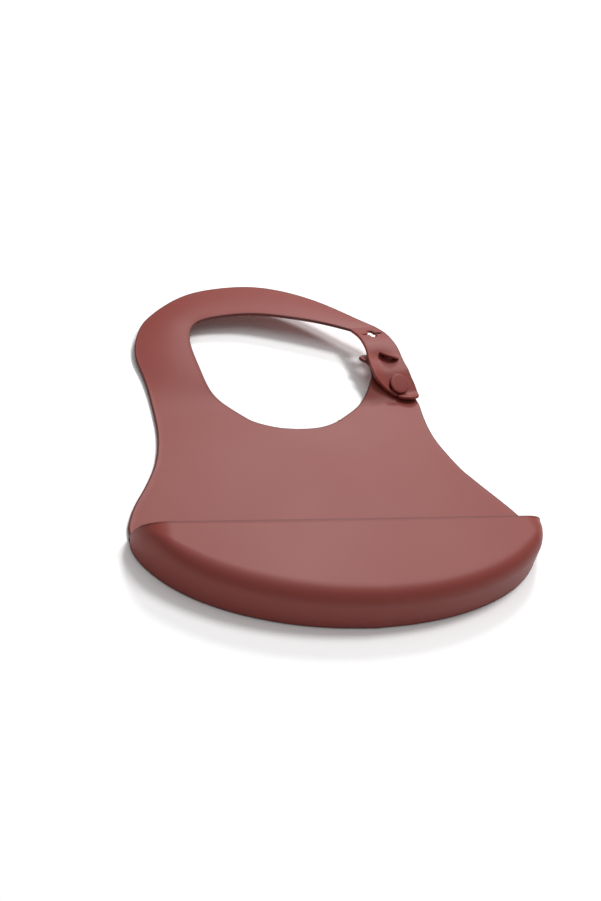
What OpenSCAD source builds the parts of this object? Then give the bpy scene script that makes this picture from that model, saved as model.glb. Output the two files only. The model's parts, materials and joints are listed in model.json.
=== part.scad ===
// Silicone feeding bib with a catch pocket and a stud-and-buttonhole neck strap.
// X runs across the bib, Y from the pocket up to the neck, Z out of the front face.
// Outline heights are counted from the line through the two pocket corners.

/* [Sheet] */
// Thickness of the moulded silicone sheet
sheet_t = 2; // [1.6:0.1:2.2]
// Width across the pocket corners
apron_w = 240; // [232:2:248]
// Height of the storage fold above the pocket corners
fold_y = 34; // [30:1:40]

/* [Pocket] */
// Clear depth between the sheet and the front panel
pocket_depth = 20; // [18:0.5:22]
// Distance of the panel's straight top edge below the pocket corners
rim_drop = 11; // [8:1:14]
// Height of the raised lip along the panel's top edge
rim_h = 1.2; // [0.8:0.2:2]

/* [Closure] */
// Distance between neighbouring studs and buttonholes
stud_pitch = 21.5; // [21:0.5:22]
// Diameter of a stud's head
head_d = 13.6; // [12.6:0.2:13.8]
// Diameter of a stud's stem
stem_d = 6; // [5:0.5:6.5]
// Width of the neck strap over the buttonholes
strap_w = 28; // [27:0.5:30]
// Slope of the closure over the second stud, in degrees
closure_slope = 12; // [10:1:13]
// Extra slope of the strap's end over the first stud, in degrees
tip_slope = 20; // [18:1:22]

/* [Hidden] */
$fn = 48;

silicone = [0.62, 0.42, 0.40];
shade = [0.52, 0.33, 0.32];

seam = 0.3;                        // open gap between neighbouring bodies
mid_y = 79.95;                     // height of the bounding box's centre above the pocket corners
half_w = apron_w / 2;

// Right half of the outer outline, from the bottom up past the shoulder
outer_side = [[0, -68], [36, -65.5], [70, -55.5], [98, -39.5], [114, -21.5], [half_w, 0],
              [114.5, 18], [104, 38], [94, 60], [88.7, 84], [88, 104], [89.5, 124]];
// Right half of the neck opening's lower edge, from its lowest point up
neck_side = [[0, 91.5], [14, 93], [27, 98], [38, 105.5], [45.5, 114.5], [51, 125]];

// Outer and inner edge of the band round the back of the neck, as [x, y, z of the sheet's back]
band_outer = [[-88.9, 118.3, 0], [-90.5, 131, 0.5], [-92, 145, 1.2], [-92.5, 162, 2.2], [-88, 181, 3.6],
              [-77, 198, 5.4], [-55, 217.5, 7.4], [-29, 227, 9], [-3, 227, 10.5], [20, 222, 12],
              [42, 211.5, 13.6], [62.5, 195, 16.6], [77.85, 178.1, 20.9]];
band_inner = [[-41.2, 109.1, 0], [-50.5, 128, 1], [-56, 145, 2.2], [-58.8, 162, 3.8], [-58.5, 175, 5.4],
              [-53, 187, 7], [-42, 193.5, 8.8], [-26, 196, 10.4], [-8, 195.5, 12.2], [11.5, 191.5, 14],
              [30, 183.5, 16.6], [42, 175.8, 19.4], [50.35, 172.75, 20.9]];

// Point at t in 0..1 between b and c on a Catmull-Rom curve
function curve_point(a, b, c, d, t) =
    0.5 * (2 * b + (c - a) * t + (2 * a - 5 * b + 4 * c - d) * t * t + (3 * b - a - 3 * c + d) * t * t * t);
// Smooth curve through the points p, with n steps between neighbours
function curve(p, n) = let (m = len(p) - 1) concat(
    [for (i = [0:m - 1], k = [0:n - 1])
        curve_point(p[max(i - 1, 0)], p[i], p[i + 1], p[min(i + 2, m)], k / n)],
    [p[m]]);
function mirrored(p) = [for (i = [len(p) - 1:-1:0]) [-p[i][0], p[i][1]]];
function reversed(p) = [for (i = [len(p) - 1:-1:0]) p[i]];
function between(p, low, high) = [for (q = p) if (q[1] > low && q[1] < high) q];
// x of the right-hand curve p at height y
function x_at(p, y) = [for (i = [0:len(p) - 2])
    if (p[i][1] <= y && p[i + 1][1] > y)
        p[i][0] + (p[i + 1][0] - p[i][0]) * (y - p[i][1]) / (p[i + 1][1] - p[i][1])][0];

side = curve(outer_side, 4);
neck = curve(neck_side, 4);

// Shoulder line, where a strap bends away from the apron; the left one is its mirror image
shoulder_out_y = 118;
shoulder_in_y = 108.8;
shoulder_out = [x_at(side, shoulder_out_y), shoulder_out_y];
shoulder_in = [x_at(neck, shoulder_in_y), shoulder_in_y];

// Stack of the closure, counted from the front face of the stud strap
strap_gap = 0.8;
head_gap = 0.5;
head_t = 2;
window_d = head_d + 4.4;           // opening in the strap that each thin buttonhole lip fills
lip_t = 1.2;
hole_d = 7;
slit_l = 12.6;
slit_w = 1.2;

// Second stud's foot, on the front face of the stud strap, and the closure's turn away from Y
stud_x = 69.8;
stud_y = 146;
stud_z = 13.8;
closure_turn = 11;
steep = closure_slope + tip_slope;

// Side view of the closure as [distance along, height] on the stud strap's front face
function out_of(a) = [-sin(a), cos(a)];
function along(a) = [cos(a), sin(a)];
arc_steps = 5;
crest_r = 8;                       // bend between the two studs
foot_r = 14;                       // bend up from the apron
crest_before = 8;                  // crest's start before the second stud
crest_from = [0, stud_z] - crest_before * along(closure_slope);
crest_mid = crest_from - crest_r * out_of(closure_slope);
crest_to = crest_mid + crest_r * out_of(steep);
foot_top_z = sheet_t + foot_r * (1 - cos(steep));
foot_to = crest_to - (crest_to[1] - foot_top_z) / sin(steep) * along(steep);
foot_mid = foot_to + foot_r * out_of(steep);
stud_1_run = stud_pitch - crest_before - (crest_r + strap_gap + sheet_t / 2) * tip_slope * PI / 180;
stud_1_at = crest_to - stud_1_run * along(steep);
far_run = stud_pitch + 9;          // second stud to the strap's fold behind the third buttonhole

// Curve at height d over the front face, from the shoulder to run past the second stud
function face(d, run) = concat(
    [[foot_mid[0] - 12, sheet_t + d]],
    [for (i = [0:arc_steps]) foot_mid - (foot_r - d) * out_of(steep * i / arc_steps)],
    [for (i = [0:arc_steps]) crest_mid + (crest_r + d) * out_of(steep - tip_slope * i / arc_steps)],
    [[0, stud_z] + run * along(closure_slope) + d * out_of(closure_slope)]);

module placed() {
    translate([0, -mid_y, 0]) children();
}

// The flat apron from the bottom up to height y
module below(y) {
    right = concat(between(side, -100, y), [[x_at(side, y), y]]);
    polygon(concat(right, mirrored(right)));
}

module lower_apron() {
    color(silicone) placed() linear_extrude(sheet_t) below(fold_y - seam / 2);
}

// Sheet between the fold and the two shoulder lines, round the neck opening's lower edge
module upper_apron() {
    y0 = fold_y + seam / 2;
    right = concat([[x_at(side, y0), y0]], between(side, y0, shoulder_out_y - 0.3), [shoulder_out],
                   [shoulder_in], reversed(between(neck, 91.6, shoulder_in_y - 0.3)));
    color(silicone) placed() linear_extrude(sheet_t)
        polygon(concat(right, [[0, 91.5]], mirrored(right)));
}

// Space inside the pocket wall: the outline drawn a wall's thickness smaller, open at the top
module pocket_hollow() {
    k = (half_w - sheet_t) / half_w;
    inner = [for (q = between(side, -100, 0.01)) [q[0] * k, q[1] + sheet_t]];
    polygon(concat(inner, mirrored(inner)));
}

// Upright wall round the pocket; its ends fall to the corners in a quarter round
module pocket_wall() {
    wall_h = sheet_t + pocket_depth;
    color(shade) placed() intersection() {
        translate([0, 0, sheet_t]) linear_extrude(pocket_depth) difference() {
            below(0);
            pocket_hollow();
        }
        rotate([90, 0, 90]) translate([0, 0, -half_w]) linear_extrude(apron_w)
            polygon(concat([[-70, 0], [-70, wall_h], [-rim_drop, wall_h]],
                           [for (a = [75:-15:0]) [-rim_drop + rim_drop * cos(a), wall_h * sin(a)]]));
    }
}

module pocket_front() {
    color(silicone) placed() translate([0, 0, sheet_t + pocket_depth + seam]) linear_extrude(sheet_t)
        below(-rim_drop);
}

// Lip moulded along the panel's straight top edge
module pocket_rim() {
    rim_w = 2 * x_at(side, -rim_drop) - 12;
    color(shade) placed() translate([-rim_w / 2, -rim_drop - sheet_t, 2 * sheet_t + pocket_depth + seam])
        cube([rim_w, sheet_t, rim_h]);
}

// Band swept between its outer and inner edges
module left_strap() {
    a = curve(band_outer, 4);
    b = curve(band_inner, 4);
    n = len(a);
    m = 4 * n - 4;
    lift = [0, 0, sheet_t];
    points = [for (i = [0:n - 1]) each [a[i], b[i], b[i] + lift, a[i] + lift]];
    sides = [for (i = [0:n - 2], k = [0:3]) let (p = 4 * i + k, q = 4 * i + (k + 1) % 4)
        each [[p, q, q + 4], [p, q + 4, p + 4]]];
    color(silicone) placed()
        polyhedron(points, concat([[2, 1, 0], [3, 2, 0]], sides, [[m, m + 1, m + 2], [m, m + 2, m + 3]]));
}

// Frame of the closure: X across the strap, Y along it from the second stud
module at_closure() {
    translate([stud_x, stud_y, 0]) rotate([0, 0, closure_turn]) children();
}

// Frame of a stud or buttonhole, with Z out of the strap's face
module at_hole(i) {
    if (i == 1) translate([0, stud_1_at[0], stud_1_at[1]]) rotate([steep, 0, 0]) children();
    else translate([0, 0, stud_z]) rotate([closure_slope, 0, 0]) translate([0, (i - 2) * stud_pitch, 0]) children();
}

// Sheet of thickness t whose back follows the closure's side view at height d
module bent_sheet(d, t, run, wide) {
    rotate([90, 0, 90]) translate([0, 0, -wide]) linear_extrude(2 * wide)
        polygon(concat(face(d, run), reversed(face(d + t, run))));
}

// Round end of a strap, w across, from the straight edges at y0 to its point at y1
function round_end(w, y0, y1) = [for (a = [0:10:180]) [w / 2 * cos(a), y0 + (y1 - y0) * sin(a)]];

module strap_tip() {
    tip_run = 24.5;
    tip_r = 11;
    tall = 40;
    color(silicone) placed() at_closure() difference() {
        intersection() {
            bent_sheet(strap_gap, sheet_t, far_run, strap_w);
            linear_extrude(tall) polygon(concat([[-strap_w / 2, tall], [strap_w / 2, tall]],
                                                round_end(strap_w, tip_r - tip_run, -tip_run)));
        }
        for (i = [1:3]) at_hole(i) cylinder(d = window_d, h = 3 * sheet_t);
    }
}

// Thin lip with a round hole and crossed slits, which stretches over a stud's head
module buttonhole_lip(i) {
    edge_gap = 0.1;
    color(shade) placed() at_closure() intersection() {
        bent_sheet(strap_gap + (sheet_t - lip_t) / 2, lip_t, far_run, strap_w);
        at_hole(i) linear_extrude(3 * sheet_t) difference() {
            circle(d = window_d - edge_gap);
            circle(d = hole_d);
            for (a = [45, 135]) rotate(a) square([slit_l, slit_w], center = true);
        }
    }
}

// Strap under the closure, from the shoulder line to a round end past the second stud
module right_strap() {
    rel = shoulder_out - [stud_x, stud_y];
    from = rel[1] * cos(closure_turn) - rel[0] * sin(closure_turn) + seam;
    end_run = 11.5;
    inner = [[-strap_w / 2, from + 20], [-17, from + 12.5], [-24, from + 5.5], [-34.8, from]];
    outer = [[13, from], [strap_w / 2 - 0.4, from + 7], [strap_w / 2, from + 14]];
    color(silicone) placed() at_closure() intersection() {
        bent_sheet(-sheet_t, sheet_t, end_run + 5, 40);
        translate([0, 0, -1]) linear_extrude(40)
            polygon(concat(round_end(strap_w, 0, end_run), inner, outer));
    }
}

// Mushroom stud on the face of the strap
module stud(i) {
    stem_h = strap_gap + sheet_t + head_gap;
    color(shade) placed() at_closure() at_hole(i) {
        cylinder(d = stem_d, h = stem_h);
        translate([0, 0, stem_h]) cylinder(d = head_d, h = head_t * 0.6);
        translate([0, 0, stem_h + head_t * 0.6]) cylinder(d1 = head_d, d2 = head_d - 1.6, h = head_t * 0.4);
    }
}

lower_apron();
upper_apron();
pocket_wall();
pocket_front();
pocket_rim();
left_strap();
strap_tip();
buttonhole_lip(1);  // buttonhole_lip_1
buttonhole_lip(2);  // buttonhole_lip_2
buttonhole_lip(3);  // buttonhole_lip_3
right_strap();
stud(1);  // stud_1
stud(2);  // stud_2
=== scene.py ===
"""Silicone bib: the looks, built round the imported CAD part."""
import json
import math

import bpy
import numpy as np
from mathutils import Matrix, Vector
from mathutils.geometry import delaunay_2d_cdt


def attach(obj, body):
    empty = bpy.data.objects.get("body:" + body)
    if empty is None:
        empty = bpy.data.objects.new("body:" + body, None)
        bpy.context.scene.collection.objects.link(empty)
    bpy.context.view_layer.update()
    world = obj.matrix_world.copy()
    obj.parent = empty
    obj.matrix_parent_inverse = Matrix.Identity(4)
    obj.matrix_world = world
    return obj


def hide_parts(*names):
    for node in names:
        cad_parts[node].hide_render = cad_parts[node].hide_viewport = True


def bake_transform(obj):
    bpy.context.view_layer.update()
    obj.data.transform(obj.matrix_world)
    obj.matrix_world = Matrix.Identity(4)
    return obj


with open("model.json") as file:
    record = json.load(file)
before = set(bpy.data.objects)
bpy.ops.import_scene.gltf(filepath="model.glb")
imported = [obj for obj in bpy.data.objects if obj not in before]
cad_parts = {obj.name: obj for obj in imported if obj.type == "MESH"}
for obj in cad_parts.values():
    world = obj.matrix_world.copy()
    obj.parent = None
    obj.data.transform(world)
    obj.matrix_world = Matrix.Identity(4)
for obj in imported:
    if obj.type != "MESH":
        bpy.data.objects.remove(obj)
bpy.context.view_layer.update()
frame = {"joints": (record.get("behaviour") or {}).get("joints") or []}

MM = 0.001
MID_Y = 79.95           # from the line of the pocket's corners to the middle of the CAD box, along Y
T = 2.0                 # sheet thickness
R = T / 2
BEAD = 1.3              # radius of the moulded bead along every free edge
RIM_BEAD = 1.65         # radius of the bead along the pocket's rim
RIM_FROM = 15           # height above which the pocket's edge counts as its rim
GAP = 0.8               # air between the stud strap and the tip that lies over it
EDGE_ROWS = 5           # rows of points round an edge
EDGE_SHADE = 0.85        # how much of the painted shade on rounded edges shows
SEAM_NEAR = 0.02        # how close to a seam a point has to be to lie on it
TINY = 1e-12


# ---------------------------------------------------------------- curves
def unit(d):
    return d / np.linalg.norm(d)


def even(line, step=None, n=None):
    """The line sampled again at even distances, given by a step or by the number of points."""
    d = np.concatenate([[0], np.cumsum(np.linalg.norm(np.diff(line, axis=0), axis=1))])
    if n is None:
        n = max(2, int(round(d[-1] / step)) + 1)
    s = np.linspace(0, d[-1], n)
    return np.stack([np.interp(s, d, line[:, k]) for k in range(line.shape[1])], 1)


def smooth(points, step, per_span=24):
    """Smooth curve through points, sampled evenly."""
    p = np.array(points, float)
    span = np.linalg.norm(np.diff(p[:, :2], axis=0), axis=1)
    t = np.concatenate([[0], np.cumsum(span)])
    m = np.gradient(p, t, axis=0)
    k = np.linspace(0, 1, per_span, endpoint=False)[:, None]
    fine = []
    for i in range(len(p) - 1):
        h = t[i + 1] - t[i]
        start = (2 * k**3 - 3 * k**2 + 1) * p[i] + (k**3 - 2 * k**2 + k) * h * m[i]
        stop = (-2 * k**3 + 3 * k**2) * p[i + 1] + (k**3 - k**2) * h * m[i + 1]
        fine.append(start + stop)
    return even(np.vstack(fine + [p[-1:]]), step)


def spline(p, t):
    """Natural cubic through p at whole values of t."""
    n = len(p)
    A = np.zeros((n, n))
    b = np.zeros((n, p.shape[1]))
    A[0, 0] = A[-1, -1] = 1
    for i in range(1, n - 1):
        A[i, i - 1:i + 2] = [1, 4, 1]
        b[i] = 6 * (p[i + 1] - 2 * p[i] + p[i - 1])
    m = np.linalg.solve(A, b)
    i = np.clip(t.astype(int), 0, n - 2)
    k = (t - i)[:, None]
    return (p[i] * (1 - k) + p[i + 1] * k
            + ((1 - k) ** 3 - (1 - k)) * m[i] / 6 + (k**3 - k) * m[i + 1] / 6)


def flipped(p):
    """The line mirrored in X and run the other way."""
    q = np.array(p, float)[::-1].copy()
    q[:, 0] *= -1
    return q


def inset(line, d, side=1):
    """The line moved sideways by d, to the left of its run when side is 1."""
    g = np.gradient(line[:, :2], axis=0)
    g /= np.linalg.norm(g, axis=1)[:, None]
    q = line.copy()
    q[:, 0] -= side * d * g[:, 1]
    q[:, 1] += side * d * g[:, 0]
    return q


def at_y(line, y):
    return float(np.interp(y, line[:, 1], line[:, 0]))


def seam_points(a, b, n=30):
    return np.linspace(a, b, n)


def soft_step(x):
    return x * x * (3 - 2 * x)


# ---------------------------------------------------------------- meshes
def new_mesh(name, verts, faces, material, skin_points=None, edge_shade=None):
    """Mesh piece from points in millimetres; the points after skin_points are those of its rounded edge.
    The last argument says how much painted shade darkens that edge, from 0 to 1."""
    me = bpy.data.meshes.new(name)
    v = np.array(verts, float)
    # painted shade: the points of the rounded edge carry a darkening in the 'edge' attribute
    edge = np.zeros(len(v))
    if skin_points is not None:
        edge[skin_points:] = EDGE_SHADE if edge_shade is None else edge_shade(v[skin_points:])
    v[:, 1] -= MID_Y
    me.from_pydata((v * MM).tolist(), [], faces)
    me.update()
    ob = bpy.data.objects.new(name, me)
    bpy.context.scene.collection.objects.link(ob)
    me.polygons.foreach_set("use_smooth", [True] * len(me.polygons))
    me.attributes.new("edge", "FLOAT", "POINT").data.foreach_set("value", edge)
    me.materials.append(material)
    return ob


def grid_faces(rows, columns):
    """Quads of a grid of points, row by row."""
    return np.array([[i * columns + j, i * columns + j + 1, (i + 1) * columns + j + 1, (i + 1) * columns + j]
                     for i in range(rows - 1) for j in range(columns - 1)])


def inside(poly, pts):
    """Which points lie inside a closed outline."""
    x, y = pts[:, 0], pts[:, 1]
    px, py = poly[:, 0], poly[:, 1]
    res = np.zeros(len(pts), bool)
    j = len(poly) - 1
    for i in range(len(poly)):
        passes = (py[i] > y) != (py[j] > y)
        crossing = (px[j] - px[i]) * (y - py[i]) / (py[j] - py[i] + TINY) + px[i]
        res ^= passes & (x < crossing)
        j = i
    return res


def near(poly, pts):
    """Distance of each point to a closed outline."""
    best = np.full(len(pts), np.inf)
    for i in range(len(poly)):
        a, b = poly[i], poly[(i + 1) % len(poly)]
        ab = b - a
        t = np.clip(((pts - a) @ ab) / max(ab @ ab, TINY), 0, 1)
        best = np.minimum(best, np.linalg.norm(pts - (a + t[:, None] * ab), axis=1))
    return best


def plate(outline, holes=(), step=2.0):
    """Evenly filled flat mesh of an outline with holes: points and triangles, counter-clockwise."""
    row_height, outline_margin, hole_margin = 0.866, 0.55, 0.45
    loops = [np.array(lp, float) for lp in (outline, *holes)]
    outline, holes = loops[0], loops[1:]
    lo, hi = outline.min(0), outline.max(0)
    fill = []
    for i, y in enumerate(np.arange(lo[1], hi[1], step * row_height)):
        xs = np.arange(lo[0] + (i % 2) * step / 2, hi[0], step)
        fill.append(np.stack([xs, np.full(len(xs), y)], 1))
    fill = np.vstack(fill)
    keep = inside(outline, fill) & (near(outline, fill) > step * outline_margin)
    for h in holes:
        keep &= ~inside(h, fill) & (near(h, fill) > step * hole_margin)
    all_pts, edges = [], []
    for lp in loops:
        b = len(all_pts)
        all_pts += lp.tolist()
        edges += [(b + i, b + (i + 1) % len(lp)) for i in range(len(lp))]
    all_pts += fill[keep].tolist()
    v, _, f, *_ = delaunay_2d_cdt([Vector(p) for p in all_pts], edges, [], 0, 1e-6)
    v = np.array([list(p) for p in v])
    f = np.array([list(t) for t in f if len(t) == 3])
    mid = v[f].mean(1)
    ok = inside(outline, mid)
    for h in holes:
        ok &= ~inside(h, mid)
    f = f[ok]
    e1, e2 = v[f[:, 1]] - v[f[:, 0]], v[f[:, 2]] - v[f[:, 0]]
    area = e1[:, 0] * e2[:, 1] - e1[:, 1] * e2[:, 0]
    f[area < 0] = f[area < 0][:, ::-1]
    f = f[np.abs(area) > 1e-9]
    used = np.unique(f)
    remap = -np.ones(len(v), int)
    remap[used] = np.arange(len(used))
    return v[used], remap[f]


def normals(v, f):
    n = np.zeros_like(v)
    for tri in (f,) if f.shape[1] == 3 else (f[:, [0, 1, 2]], f[:, [0, 2, 3]]):
        c = np.cross(v[tri[:, 1]] - v[tri[:, 0]], v[tri[:, 2]] - v[tri[:, 0]])
        for k in range(tri.shape[1]):
            np.add.at(n, tri[:, k], c)
    return n / np.maximum(np.linalg.norm(n, axis=1), TINY)[:, None]


def bead(p):
    return np.full(len(p), BEAD)


def thicken(v, f, seam=None, rim=bead):
    """Skin of thickness T on both sides of a mesh, with round edges except along its seams.
    seam(points) says which boundary points lie on a seam; rim(points) gives the bead's radius there."""
    n = normals(v, f)
    faces = f.tolist()
    sides = dict.fromkeys((a, b) for face in faces for a, b in zip(face, face[1:] + face[:1]))
    on_seam = seam(v) if seam is not None else np.zeros(len(v), bool)
    border = [(a, b) for (a, b) in sides if (b, a) not in sides and not (on_seam[a] and on_seam[b])]
    out = np.zeros_like(v)
    for a, b in border:
        e = v[b] - v[a]
        for k in (a, b):
            o = np.cross(e, n[k])
            out[k] += o / max(np.linalg.norm(o), TINY)
    N = len(v)
    ids = sorted({k for ab in border for k in ab})
    pos = {k: i for i, k in enumerate(ids)}
    idx = np.array(ids)
    o = out[idx] / np.maximum(np.linalg.norm(out[idx], axis=1), 1e-9)[:, None]
    r = np.maximum(R, rim(v))[idx][:, None]
    verts = [v + n * R, v - n * R]
    for j in range(1, EDGE_ROWS + 1):
        a = math.pi / 2 - math.pi * j / (EDGE_ROWS + 1)
        verts.append(v[idx] + o * (r * math.cos(a)) + n[idx] * (r * math.sin(a)))

    def ring(k, j):
        if j == 0:
            return k
        if j == EDGE_ROWS + 1:
            return N + k
        return 2 * N + (j - 1) * len(ids) + pos[k]

    result = [list(x) for x in faces] + [[N + k for k in x[::-1]] for x in faces]
    for a, b in border:
        for j in range(EDGE_ROWS + 1):
            result.append([ring(b, j), ring(a, j), ring(a, j + 1), ring(b, j + 1)])
    return np.vstack(verts), result


def sheet(name, v, f, seam=None, rim=bead, edge_shade=None):
    """Piece made of silicone sheet, from the points and faces of its middle surface."""
    sv, sf = thicken(v, f, seam, rim)
    return new_mesh(name, sv, sf, skin, 2 * len(v), edge_shade)


def lathe(name, profile, centre, axis, material, n=72):
    """Turned piece: a profile of radius and height, with its foot at centre and its top along axis."""
    prof = np.array(profile, float)
    a = np.linspace(0, 2 * math.pi, n, endpoint=False)
    vv = [[0, 0, prof[0][1]]]
    for r, z in prof[1:-1]:
        vv += [[r * math.cos(t), r * math.sin(t), z] for t in a]
    vv.append([0, 0, prof[-1][1]])
    m = len(prof) - 2
    ff = [[0, 1 + (j + 1) % n, 1 + j] for j in range(n)]
    for i in range(m - 1):
        for j in range(n):
            p, q = 1 + i * n + j, 1 + i * n + (j + 1) % n
            ff.append([p, q, q + n, p + n])
    last = 1 + (m - 1) * n
    ff += [[last + j, last + (j + 1) % n, len(vv) - 1] for j in range(n)]
    rot = Vector((0, 0, 1)).rotation_difference(Vector(axis)).to_matrix()
    vv = np.array([list(rot @ Vector(p)) for p in vv]) + np.array(centre)
    return new_mesh(name, vv, ff, material)


# ---------------------------------------------------------------- silicone
FACE_RED = (0.225, 0.044, 0.035, 1)
# painted shade for the rounded edges: the face red darkened
EDGE_SHADE_RED = (0.085, 0.016, 0.014, 1)


def silicone(name):
    """Matt silicone with a faint grain, a slightly uneven gloss, and painted shade: a darker red on thin
    rounded edges.
    """
    m = bpy.data.materials.new(name)
    m.use_nodes = True
    nt = m.node_tree
    b = nt.nodes["Principled BSDF"]
    b.inputs["Base Color"].default_value = FACE_RED
    b.inputs["Roughness"].default_value = 0.5
    b.inputs["IOR"].default_value = 1.43
    b.inputs["Specular IOR Level"].default_value = 0.34
    b.inputs["Subsurface Weight"].default_value = 0.12
    b.inputs["Subsurface Radius"].default_value = (1.0, 0.35, 0.25)
    b.inputs["Subsurface Scale"].default_value = 0.0015
    place = nt.nodes.new("ShaderNodeTexCoord")
    fine = nt.nodes.new("ShaderNodeTexNoise")
    fine.inputs["Scale"].default_value = 900
    fine.inputs["Detail"].default_value = 3
    broad = nt.nodes.new("ShaderNodeTexNoise")
    broad.inputs["Scale"].default_value = 14
    broad.inputs["Detail"].default_value = 2
    bump = nt.nodes.new("ShaderNodeBump")
    bump.inputs["Strength"].default_value = 0.03
    bump.inputs["Distance"].default_value = 0.0003
    gloss = nt.nodes.new("ShaderNodeMapRange")
    gloss.inputs["To Min"].default_value = 0.46
    gloss.inputs["To Max"].default_value = 0.54
    # painted shade: the 'edge' attribute mixes the base colour from the face red towards the darker edge red
    edge = nt.nodes.new("ShaderNodeAttribute")
    edge.attribute_name = "edge"
    shade = nt.nodes.new("ShaderNodeMix")
    shade.data_type = "RGBA"
    shade.inputs["A"].default_value = FACE_RED
    shade.inputs["B"].default_value = EDGE_SHADE_RED
    for start, stop in (
            (edge.outputs["Fac"], shade.inputs["Factor"]),
            (shade.outputs["Result"], b.inputs["Base Color"]),
            (place.outputs["Object"], fine.inputs["Vector"]),
            (place.outputs["Object"], broad.inputs["Vector"]),
            (fine.outputs["Fac"], bump.inputs["Height"]),
            (bump.outputs["Normal"], b.inputs["Normal"]),
            (broad.outputs["Fac"], gloss.inputs["Value"]),
            (gloss.outputs["Result"], b.inputs["Roughness"])):
        nt.links.new(start, stop)
    return m


skin = silicone("silicone")
skin_stud = silicone("silicone_stud")

# ---------------------------------------------------------------- outlines, in mm from the pocket corners
OUTLINE_STEP = 1.5
low_side = smooth([[0, -68], [26, -66.1], [54.3, -60.4], [79.3, -50.9], [94.4, -42], [104.9, -33.1],
                   [112.3, -24.3], [118, -14.5], [120.3, -6], [120, 0]], OUTLINE_STEP)
right_side = smooth([[120, 0], [119, 7], [116.2, 14.5], [112.4, 22], [108.2, 29.5], [103.6, 37.5],
                     [99.2, 45.5], [95.3, 53], [92.4, 61], [90.1, 69], [88.0, 77], [86.7, 85], [86.2, 93],
                     [86.4, 101], [87.0, 109.5], [87.8, 118]], OUTLINE_STEP)
left_side = smooth([[120, 0], [119.4, 9], [116.9, 17.2], [114.0, 24.2], [110.3, 31.3], [106.2, 38.5],
                    [102.4, 45.9], [98.9, 53.4], [96.0, 61], [93.8, 68.8], [92.1, 76.7], [90.9, 84.8],
                    [90.2, 92.9], [89.9, 101.3], [89.8, 112]], OUTLINE_STEP)
neck_right = smooth([[-3, 91.4], [5, 91.9], [12.5, 93.2], [20.1, 96.0], [28, 100.6], [37.1, 108.3],
                     [42.5, 113.3]], OUTLINE_STEP)
neck_left = smooth([[-3, 91.4], [-13.5, 92.4], [-21.7, 94.7], [-28.7, 97.9], [-36, 103], [-41.8, 108.8],
                    [-45.6, 114.5], [-48.9, 120.3]], OUTLINE_STEP)
SEAM_OUT = 105.0        # where the shoulder seams meet the outer edge and the neck hole, along Y
SEAM_IN = 100.0
seam_out = np.array([at_y(right_side, SEAM_OUT), SEAM_OUT])
seam_in = np.array([at_y(neck_right, SEAM_IN), SEAM_IN])
left_out = np.array([-at_y(left_side, SEAM_OUT), SEAM_OUT])
left_in = np.array([at_y(neck_left, SEAM_IN), SEAM_IN])

# the same ends drawn in by the sheet's edge radius
so, si = seam_out + unit(seam_in - seam_out) * R, seam_in - unit(seam_in - seam_out) * R
lo, li = left_out + unit(left_in - left_out) * R, left_in - unit(left_in - left_out) * R


def on_shoulder_seam(p):
    found = np.zeros(len(p), bool)
    for a, b in ((so, si), (lo, li)):
        d = p[:, :2] - a
        e = unit(b - a)
        along = d @ e
        beside = np.abs(d[:, 0] * e[1] - d[:, 1] * e[0])
        length = np.linalg.norm(b - a)
        found |= (beside < SEAM_NEAR) & (along > -SEAM_NEAR) & (along < length + SEAM_NEAR)
    return found


# ---------------------------------------------------------------- apron
POCKET_INSET = 0.6      # how far the apron stays inside the pocket's wall


def half_side(side):
    """From the middle of the lower edge up one side to the shoulder seam."""
    line = np.vstack([inset(low_side, R + POCKET_INSET)[:-1], inset(side[side[:, 1] < SEAM_OUT - 1], R)])
    line[0, 0] = 0
    return line


def neck_side(line, side):
    return inset(line[line[:, 1] < SEAM_IN - 0.8], R, side)


def make_apron():
    """Flat apron: up the right side, across the seam, round the neck's edge and down the left side."""
    outline = np.vstack([half_side(right_side), seam_points(so, si), neck_side(neck_right, -1)[::-1],
                         neck_side(neck_left, 1)[1:], seam_points(li, lo),
                         flipped(half_side(left_side))[:-1]])
    v, f = plate(outline, step=2.4)
    return sheet("apron", np.column_stack([v, np.full(len(v), R)]), f, on_shoulder_seam)


apron = make_apron()

# ---------------------------------------------------------------- closure frame: u across, s along the strap
TURN = math.radians(11)
FOOT = np.array([69.8, 146.0])
UX = np.array([math.cos(TURN), math.sin(TURN)])
UY = np.array([-math.sin(TURN), math.cos(TURN)])


def to_world(u, s):
    return FOOT + np.outer(u, UX) + np.outer(s, UY)


def uv_of(x, y):
    d = np.array([x, y]) - FOOT
    return [float(d @ UX), float(d @ UY)]


def turned(centre, radius, angle):
    """Point of an arc that starts at the bottom of its circle; a negative radius starts at the top."""
    return [centre[0] + radius * math.sin(angle), centre[1] - radius * math.cos(angle)]


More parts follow.
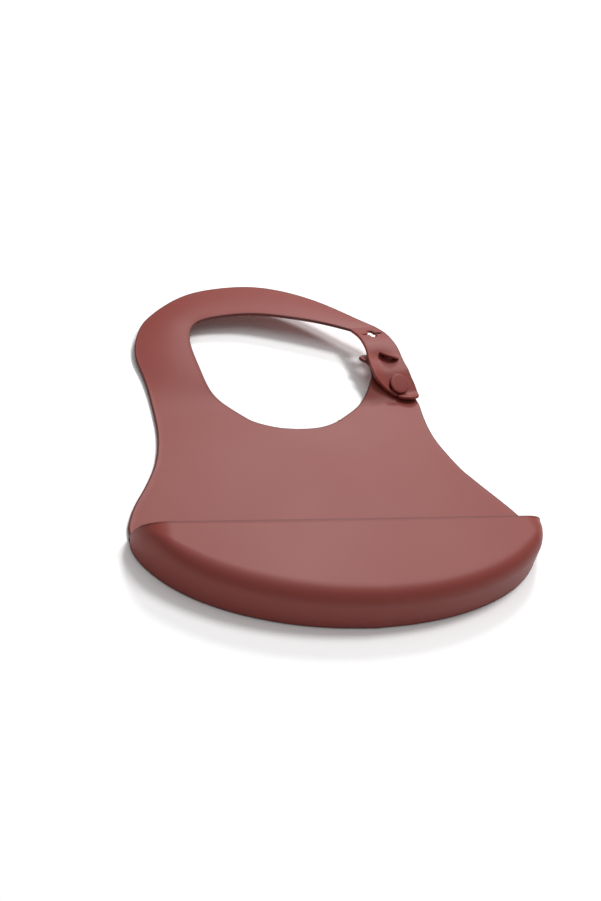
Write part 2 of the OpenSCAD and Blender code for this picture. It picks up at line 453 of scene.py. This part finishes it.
def make_face():
    """Side view of the stud strap's front face: it leaves the apron, climbs, eases off and levels out."""
    easy, steep = math.radians(12), math.radians(32)
    foot_r, crest_r, crest_before = 14, 8, 8
    stud_z = 13.8
    lead_in = 30
    level_from, level_step, level_rows = 6, 0.5, 66
    slope_change, last_slope = 0.0105, -0.12
    crest_end = np.array([-crest_before * math.cos(easy), stud_z - crest_before * math.sin(easy)])
    crest = crest_end - crest_r * np.array([-math.sin(easy), math.cos(easy)])
    climb_end = crest + crest_r * np.array([-math.sin(steep), math.cos(steep)])
    climb_z = T + foot_r * (1 - math.cos(steep))
    climb_start = climb_end - (climb_end[1] - climb_z) / math.sin(steep) * np.array([math.cos(steep),
                                                                                   math.sin(steep)])
    foot = climb_start + foot_r * np.array([-math.sin(steep), math.cos(steep)])
    pts = [[foot[0] - lead_in, T]]
    pts += [turned(foot, foot_r, a) for a in np.linspace(0, steep, 12)]
    pts += [turned(crest, -crest_r, a) for a in np.linspace(steep, easy, 8)]
    z, slope = stud_z + level_from * math.tan(easy), math.tan(easy)
    pts += [[0, stud_z], [level_from, z]]
    for k in range(1, level_rows + 1):
        slope = max(slope - slope_change, last_slope)
        z += slope * level_step
        pts.append([level_from + level_step * k, z])
    return np.array(pts)


face_line = make_face()


def face_z(s):
    return np.interp(s, face_line[:, 0], face_line[:, 1])


def face_slope(s, reach):
    return (face_z(s + reach) - face_z(s - reach)) / (2 * reach)


def offset_surface(u, s, d, shape=None):
    """Points at height d over the stud strap's front face, at (u, s); shape(u, s) is added to their Z."""
    u, s = np.asarray(u, float), np.asarray(s, float)
    slope = face_slope(s, 1.2)
    nz = 1 / np.sqrt(1 + slope**2)
    z = face_z(s) + nz * d
    if shape is not None:
        z = z + shape(u, s)
    return np.column_stack([to_world(u, s - slope * nz * d), z])


STUD_1 = (1.5, -16.8)
STUD_2 = (2.4, 1.2)
HOLE_3 = (2.1, 25.4)
SEAM_S = 34.0           # where the tip meets the neck band, along s
SEAM_U = (-9.9, 9.6)    # the seam's ends, across


# ---------------------------------------------------------------- strap tip with its buttonholes
def clover(c, length, width, squeeze=1.0, n=84):
    """Cross-shaped opening with four round lobes, shortened along the strap by squeeze."""
    a = np.linspace(0, 2 * math.pi, n, endpoint=False)
    r = width + (length - width) * np.abs(np.cos(2 * a)) ** 1.3
    return np.stack([c[0] + r * np.cos(a), c[1] + squeeze * r * np.sin(a)], 1)


def pulled(u, s):
    """Where the second stud pulls the tip down, and where its left edge and its end curl up."""
    dip = -2.4 * np.exp(-(((u + 1.5) / 8) ** 2 + ((s - 5.0) / 4.5) ** 2))
    left = np.clip((-u - 5) / 15, 0, 1)
    curl = 4.2 * soft_step(left) * np.exp(-(((s + 17) / 12) ** 2))
    front = np.clip((-21.5 - s) / 9, 0, 1)
    return dip + curl + 2.2 * soft_step(front)


# outline from the seam down the outer edge, round the end and back up, and the seam that closes it
tip_outline = smooth([[SEAM_U[1], SEAM_S], [12.3, 26.3], [13.0, 16.1], [12.9, 6.6], [12.0, -2.7],
                      [12.7, -12.6], [13.9, -18.7], [14.0, -24.0], [12.9, -27.6], [10.0, -29.2],
                      [5.4, -29.2], [1.1, -27.2], [-4.6, -22.0], [-9.8, -18.4], [-13.4, -15.6],
                      [-15.2, -12.2], [-14.8, -7.9], [-13.0, -0.1], [-11.0, 7.2], [-9.4, 16.9],
                      [-8.6, 26], [SEAM_U[0], SEAM_S]], 1.2)
tip_line = inset(tip_outline, R, -1)
tip_line[0] = [SEAM_U[1] - R, SEAM_S]
tip_line[-1] = [SEAM_U[0] + R, SEAM_S]
tip_seam = seam_points(tip_line[-1], tip_line[0], 22)
seam_ring = offset_surface(tip_seam[:, 0], tip_seam[:, 1], GAP + R)


def on_tip_seam(p):
    seam_s = float((seam_ring[0, :2] - FOOT) @ UY)
    return (p[:, :2] - FOOT) @ UY > seam_s - SEAM_NEAR


def tip_edge_shade(p):
    """Painted shade on the tip's edge: dark along the outer side, and none, so it stays pale, where the edge
    curls up towards the light.
    """
    d = p[:, :2] - FOOT
    return EDGE_SHADE * np.clip((d @ UX - 2) / 6, 0, 1) * np.clip((d @ UY + 24) / 6, 0, 1)


def make_tip():
    holes = [clover((STUD_1[0] - 1.3, STUD_1[1] - 1.0), 6.9, 3.6),
             clover((STUD_2[0], STUD_2[1] - 0.6), 4.7, 3.5, 0.75),
             clover(HOLE_3, 8.6, 4.4, 0.62)]
    v, f = plate(np.vstack([tip_line[:-1], tip_seam[:-1]])[::-1], holes, step=1.3)
    v3 = offset_surface(v[:, 0], v[:, 1], GAP + R, pulled)
    return sheet("strap_end", v3, f, on_tip_seam, edge_shade=tip_edge_shade)


tip = make_tip()


# ---------------------------------------------------------------- band round the back of the neck
def make_band():
    """Band from the left shoulder to the tip, ruled between its two edges and crowned a little.
    Each edge point is its place and the height of the band's underside there."""
    rows, columns, crown = 260, 26, 1.2
    outer = [[*left_out, 0], [-89.8, 117, 0.1], [-90.2, 131.7, 0.5], [-91.6, 145.8, 1.0],
             [-92.5, 162.9, 2.0], [-87.4, 182.6, 3.4], [-77.2, 198.5, 5.0], [-54.6, 218.1, 6.8],
             [-29.3, 228.1, 8.2], [-2.9, 230.3, 9.8], [20.2, 223.4, 11.6], [41.4, 209.6, 13.4],
             [60.8, 191.5, 14.8]]
    inner = [[*left_in, 0], [-46.6, 116.6, 0.8], [-52.6, 129.3, 3.4], [-54.6, 142.2, 5.0],
             [-56.2, 158.0, 6.0], [-56.4, 171.5, 7.0], [-52.6, 184.0, 8.2], [-42.8, 190.5, 10.0],
             [-26.7, 193.7, 11.6], [-9.0, 194.3, 13.0], [11.0, 190.6, 14.4], [29.9, 185.6, 15.2],
             [42.5, 181.6, 15.3]]
    outer, inner = np.array(outer) + [0, 0, R], np.array(inner) + [0, 0, R]
    w = outer - inner
    w /= np.linalg.norm(w, axis=1)[:, None]
    outer = np.vstack([outer - w * R, seam_ring[-1]])
    inner = np.vstack([inner + w * R, seam_ring[0]])
    t = np.linspace(0, len(outer) - 1, rows)
    eo, ei = spline(outer, t), spline(inner, t)
    across = np.linspace(0, 1, columns)
    grid = ei[:, None, :] * (1 - across)[None, :, None] + eo[:, None, :] * across[None, :, None]
    along = np.linspace(0, 1, rows)
    grid[:, :, 2] += np.sin(np.pi * across)[None, :] * (np.sin(np.pi * along) * crown)[:, None]
    v = grid.reshape(-1, 3)
    f = grid_faces(rows, columns)
    if normals(v, f)[:, 2].mean() < 0:
        f = f[:, ::-1]
    ends = np.zeros(len(v), bool)
    ends[:columns] = True
    ends[-columns:] = True
    return sheet("neck_band", v, f, lambda p: ends)


band = make_band()


# ---------------------------------------------------------------- stud strap, under the closure
def droop(u, s):
    """The strap dips under the second stud and its free end sags."""
    sag = np.clip(s - 2.5, 0, None)
    dip = -2.6 * np.exp(-(((u + 1.5) / 9) ** 2 + ((s - 5.0) / 5.0) ** 2))
    return dip - 0.05 * sag**2


def make_stud_strap():
    """Short strap from the right shoulder seam: up its inner edge, round its end and down the outer edge."""
    outline = smooth([uv_of(*seam_in), uv_of(32.7, 104.4), uv_of(37.4, 108.2), uv_of(42.0, 112.2),
                      [-28.6, -24.6], [-22.0, -19.2], [-17.4, -13.8], [-14.4, -9.6], [-13.0, -5.4],
                      [-12.2, -1.0], [-12.6, 2.4], [-15.2, 4.8], [-15.8, 7.2], [-13.0, 9.8], [-6, 12.4],
                      [1.5, 13.2], [7.5, 11.6], [10.2, 7], [10.6, 0], [10.8, -8], [11.6, -16],
                      [12.6, -23], uv_of(87.8, 118), uv_of(87.1, 110), uv_of(*seam_out)], 1.2)
    line = inset(outline, R, -1)
    end_in, end_out = np.array(uv_of(*si)), np.array(uv_of(*so))
    line[0], line[-1] = end_in, end_out
    loop = np.vstack([line[:-1], seam_points(end_out, end_in)[:-1]])
    ahead = np.roll(loop, -1, axis=0)
    if np.sum(loop[:, 0] * ahead[:, 1] - ahead[:, 0] * loop[:, 1]) < 0:
        loop = loop[::-1]
    v, f = plate(loop, step=1.6)
    v3 = offset_surface(v[:, 0], v[:, 1], -R, droop)
    v3[:, 2] = np.maximum(v3[:, 2], R)
    return sheet("stud_strap", v3, f, on_shoulder_seam)


stud_strap = make_stud_strap()

# ---------------------------------------------------------------- pocket
RIM_Z = 23.2
RIM_Y = -11.5
RIM_HALF = 103          # half the rim's straight length
CORNER_RUN = 16.6       # from the rim's straight length out to the pocket's corner
WALL_ROWS, ROLL_ROWS, FRONT_ROWS = 16, 20, 28
RIBS = 340


def rim_path():
    """The pocket's open edge: up from one corner, straight across and down to the other corner."""
    a = np.linspace(0, math.pi / 2, 26)
    left = np.stack([-(RIM_HALF + CORNER_RUN * np.sin(a) ** 0.9), RIM_Y - RIM_Y * (1 - np.cos(a)),
                     R + (RIM_Z - R) * np.cos(a) ** 0.75], 1)[::-1]
    straight = [[RIM_HALF * k, RIM_Y, RIM_Z] for k in np.linspace(-1, 1, 60)[1:-1]]
    return np.vstack([left, straight, left[::-1] * [-1, 1, 1]])


def rib(b, r):
    """Points from the base up the wall, round the roll and along the front to the rim."""
    roll_r, lean, full_lean_at, most = 9.0, 1.2, 20, 0.75
    flat = np.linalg.norm((r - b)[:2])
    tall = r[2] - b[2]
    rc = min(roll_r, flat * most, max(tall * most, 1e-6))
    towards = (r - b)[:2] / max(flat, 1e-6)
    pts = []
    for a in np.linspace(0, 1, WALL_ROWS, endpoint=False):
        z = a * (tall - rc)
        pts.append((lean * min(1, flat / full_lean_at) * (z / max(tall, 1e-6)) ** 2, z))
    wall_x = pts[-1][0]
    for a in np.linspace(0, math.pi / 2, ROLL_ROWS, endpoint=False):
        pts.append((wall_x + rc * (1 - math.cos(a)), tall - rc + rc * math.sin(a)))
    roll_x = wall_x + rc
    for a in np.linspace(0, 1, FRONT_ROWS):
        pts.append((roll_x + (flat - roll_x) * a, tall))
    pts = np.array(pts)
    pts[:, 0] = np.minimum(pts[:, 0], flat)
    return np.column_stack([b[0] + towards[0] * pts[:, 0], b[1] + towards[1] * pts[:, 0], b[2] + pts[:, 1]])


def rim_bead(p):
    """The pocket's upper edge carries a thicker bead than the edge that joins the apron."""
    return np.where(p[:, 2] > RIM_FROM, RIM_BEAD, BEAD)


def make_pocket():
    base = np.vstack([flipped(low_side), low_side[1:]])
    base = inset(even(np.column_stack([base, np.full(len(base), R)]), n=RIBS), R)
    rim = even(rim_path(), n=RIBS)
    columns = WALL_ROWS + ROLL_ROWS + FRONT_ROWS
    v = np.array([rib(b, r) for b, r in zip(base, rim)]).reshape(-1, 3)
    f = grid_faces(RIBS, columns)[:, [0, 3, 2, 1]]
    front = RIBS // 2 * columns + columns - 3
    if normals(v, f)[front, 2] < 0:
        f = f[:, ::-1]
    return sheet("pocket", v, f, rim=rim_bead)


pocket = make_pocket()


# ---------------------------------------------------------------- studs
def stud_profile(stem_h, head_t):
    """Mushroom stud: a flared foot, a stem, and a flat head with a rounded edge."""
    head_r, stem_r = 6.8, 3.0
    e = head_t / 2
    top = stem_h + head_t
    foot = [[0, -0.3], [stem_r + 0.8, -0.3], [stem_r + 0.3, 0.2], [stem_r, 0.8]]
    stem = [[stem_r, stem_h - 0.3], [stem_r + 0.3, stem_h], [head_r - e - 0.5, stem_h + 0.02]]
    edge = [[head_r - e + e * math.sin(a), stem_h + e - e * math.cos(a)]
            for a in np.linspace(0.15, math.pi - 0.15, 12)]
    crown = [[head_r * 0.7, top + 0.08], [head_r * 0.35, top + 0.12], [0, top + 0.12]]
    return foot + stem + edge + crown


def face_normal(s):
    slope = math.atan(float(face_slope(s, 1.5)))
    d = -math.sin(slope) * UY
    return [d[0], d[1], math.cos(slope)]


def make_stud(name, place, profile, axis):
    return lathe(name, profile, offset_surface([place[0]], [place[1]], 0)[0], axis, skin_stud)


# the second stud is pulled over towards its buttonhole
stud_1 = make_stud("stud_1", STUD_1, stud_profile(3.1, 1.9), face_normal(STUD_1[1]))
stud_2 = make_stud("stud_2", STUD_2, stud_profile(2.6, 1.7), (0.245, 0.46, 0.853))


# ---------------------------------------------------------------- pieces set in place; the studs ride on the right band
def across(name):
    """A joint's place, and the direction in the sheet square to its axis."""
    found = [j for j in frame["joints"] if j["name"] == name][0]
    a = Vector(found["axis"]).normalized()
    return Vector(found["pos_m"]), Vector((-a[1], a[0], 0))


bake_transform(apron)
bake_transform(band)
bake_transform(tip)
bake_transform(stud_strap)
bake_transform(pocket)
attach(stud_1, "right_band")
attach(stud_2, "right_band")

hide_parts("lower_apron", "upper_apron")
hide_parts("left_strap")
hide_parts("strap_tip", "buttonhole_lip_1", "buttonhole_lip_2", "buttonhole_lip_3")
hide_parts("right_strap")
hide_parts("pocket_wall", "pocket_front", "pocket_rim")
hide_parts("stud_1")
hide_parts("stud_2")


# ---------------------------------------------------------------- stage
def make_floor():
    """Plain pale floor, just under the bib."""
    half, below = 6, 0.0004
    material = bpy.data.materials.new("floor")
    material.use_nodes = True
    b = material.node_tree.nodes["Principled BSDF"]
    b.inputs["Base Color"].default_value = (0.985, 0.985, 0.985, 1)
    b.inputs["Roughness"].default_value = 0.9
    b.inputs["Specular IOR Level"].default_value = 0.1
    me = bpy.data.meshes.new("floor")
    corners = [(-half, -half, 0), (half, -half, 0), (half, half, 0), (-half, half, 0)]
    me.from_pydata(corners, [], [(0, 1, 2, 3)])
    me.materials.append(material)
    ob = bpy.data.objects.new("floor", me)
    ob.location.z = -below
    bpy.context.scene.collection.objects.link(ob)
    return ob


floor = make_floor()

scene = bpy.context.scene
world = bpy.data.worlds.new("soft")
scene.world = world
world.use_nodes = True
world.node_tree.nodes["Background"].inputs["Color"].default_value = (1, 1, 1, 1)
world.node_tree.nodes["Background"].inputs["Strength"].default_value = 0.25
scene.view_settings.view_transform = "Standard"

view_dir = Vector((0.42, 0.907, 0)).normalized()     # over the floor, away from the camera


def area_light(name, pos, size, power):
    """Round soft light aimed at the middle of the bib."""
    data = bpy.data.lights.new(name, "AREA")
    data.shape = "DISK"
    data.size = size
    data.energy = power
    ob = bpy.data.objects.new(name, data)
    ob.location = pos
    ob.rotation_euler = (-Vector(pos)).to_track_quat("-Z", "Y").to_euler()
    scene.collection.objects.link(ob)


area_light("back_softbox", view_dir * 1.55 + Vector((0, 0, 1.35)), 0.42, 18)
area_light("side_softbox", Vector((0.92, 0.58, 1.9)), 0.6, 24)
area_light("overhead", view_dir * 0.2 + Vector((0, 0, 3.0)), 4.0, 33)


def place_camera():
    """Camera in front of the bib, to its left and above it."""
    heading, pitch, roll = -24.86, 51.63, 16.22
    data = bpy.data.cameras.new("camera")
    data.lens = 50
    data.sensor_width = 36
    data.clip_start = 0.01
    ob = bpy.data.objects.new("camera", data)
    scene.collection.objects.link(ob)
    turn = (Matrix.Rotation(math.radians(heading), 4, "Z") @ Matrix.Rotation(math.radians(pitch), 4, "X")
            @ Matrix.Rotation(math.radians(roll), 4, "Z"))
    ob.matrix_world = Matrix.Translation(Vector((-0.2532, -0.4626 - MID_Y * MM, 0.4677))) @ turn
    scene.camera = ob


place_camera()
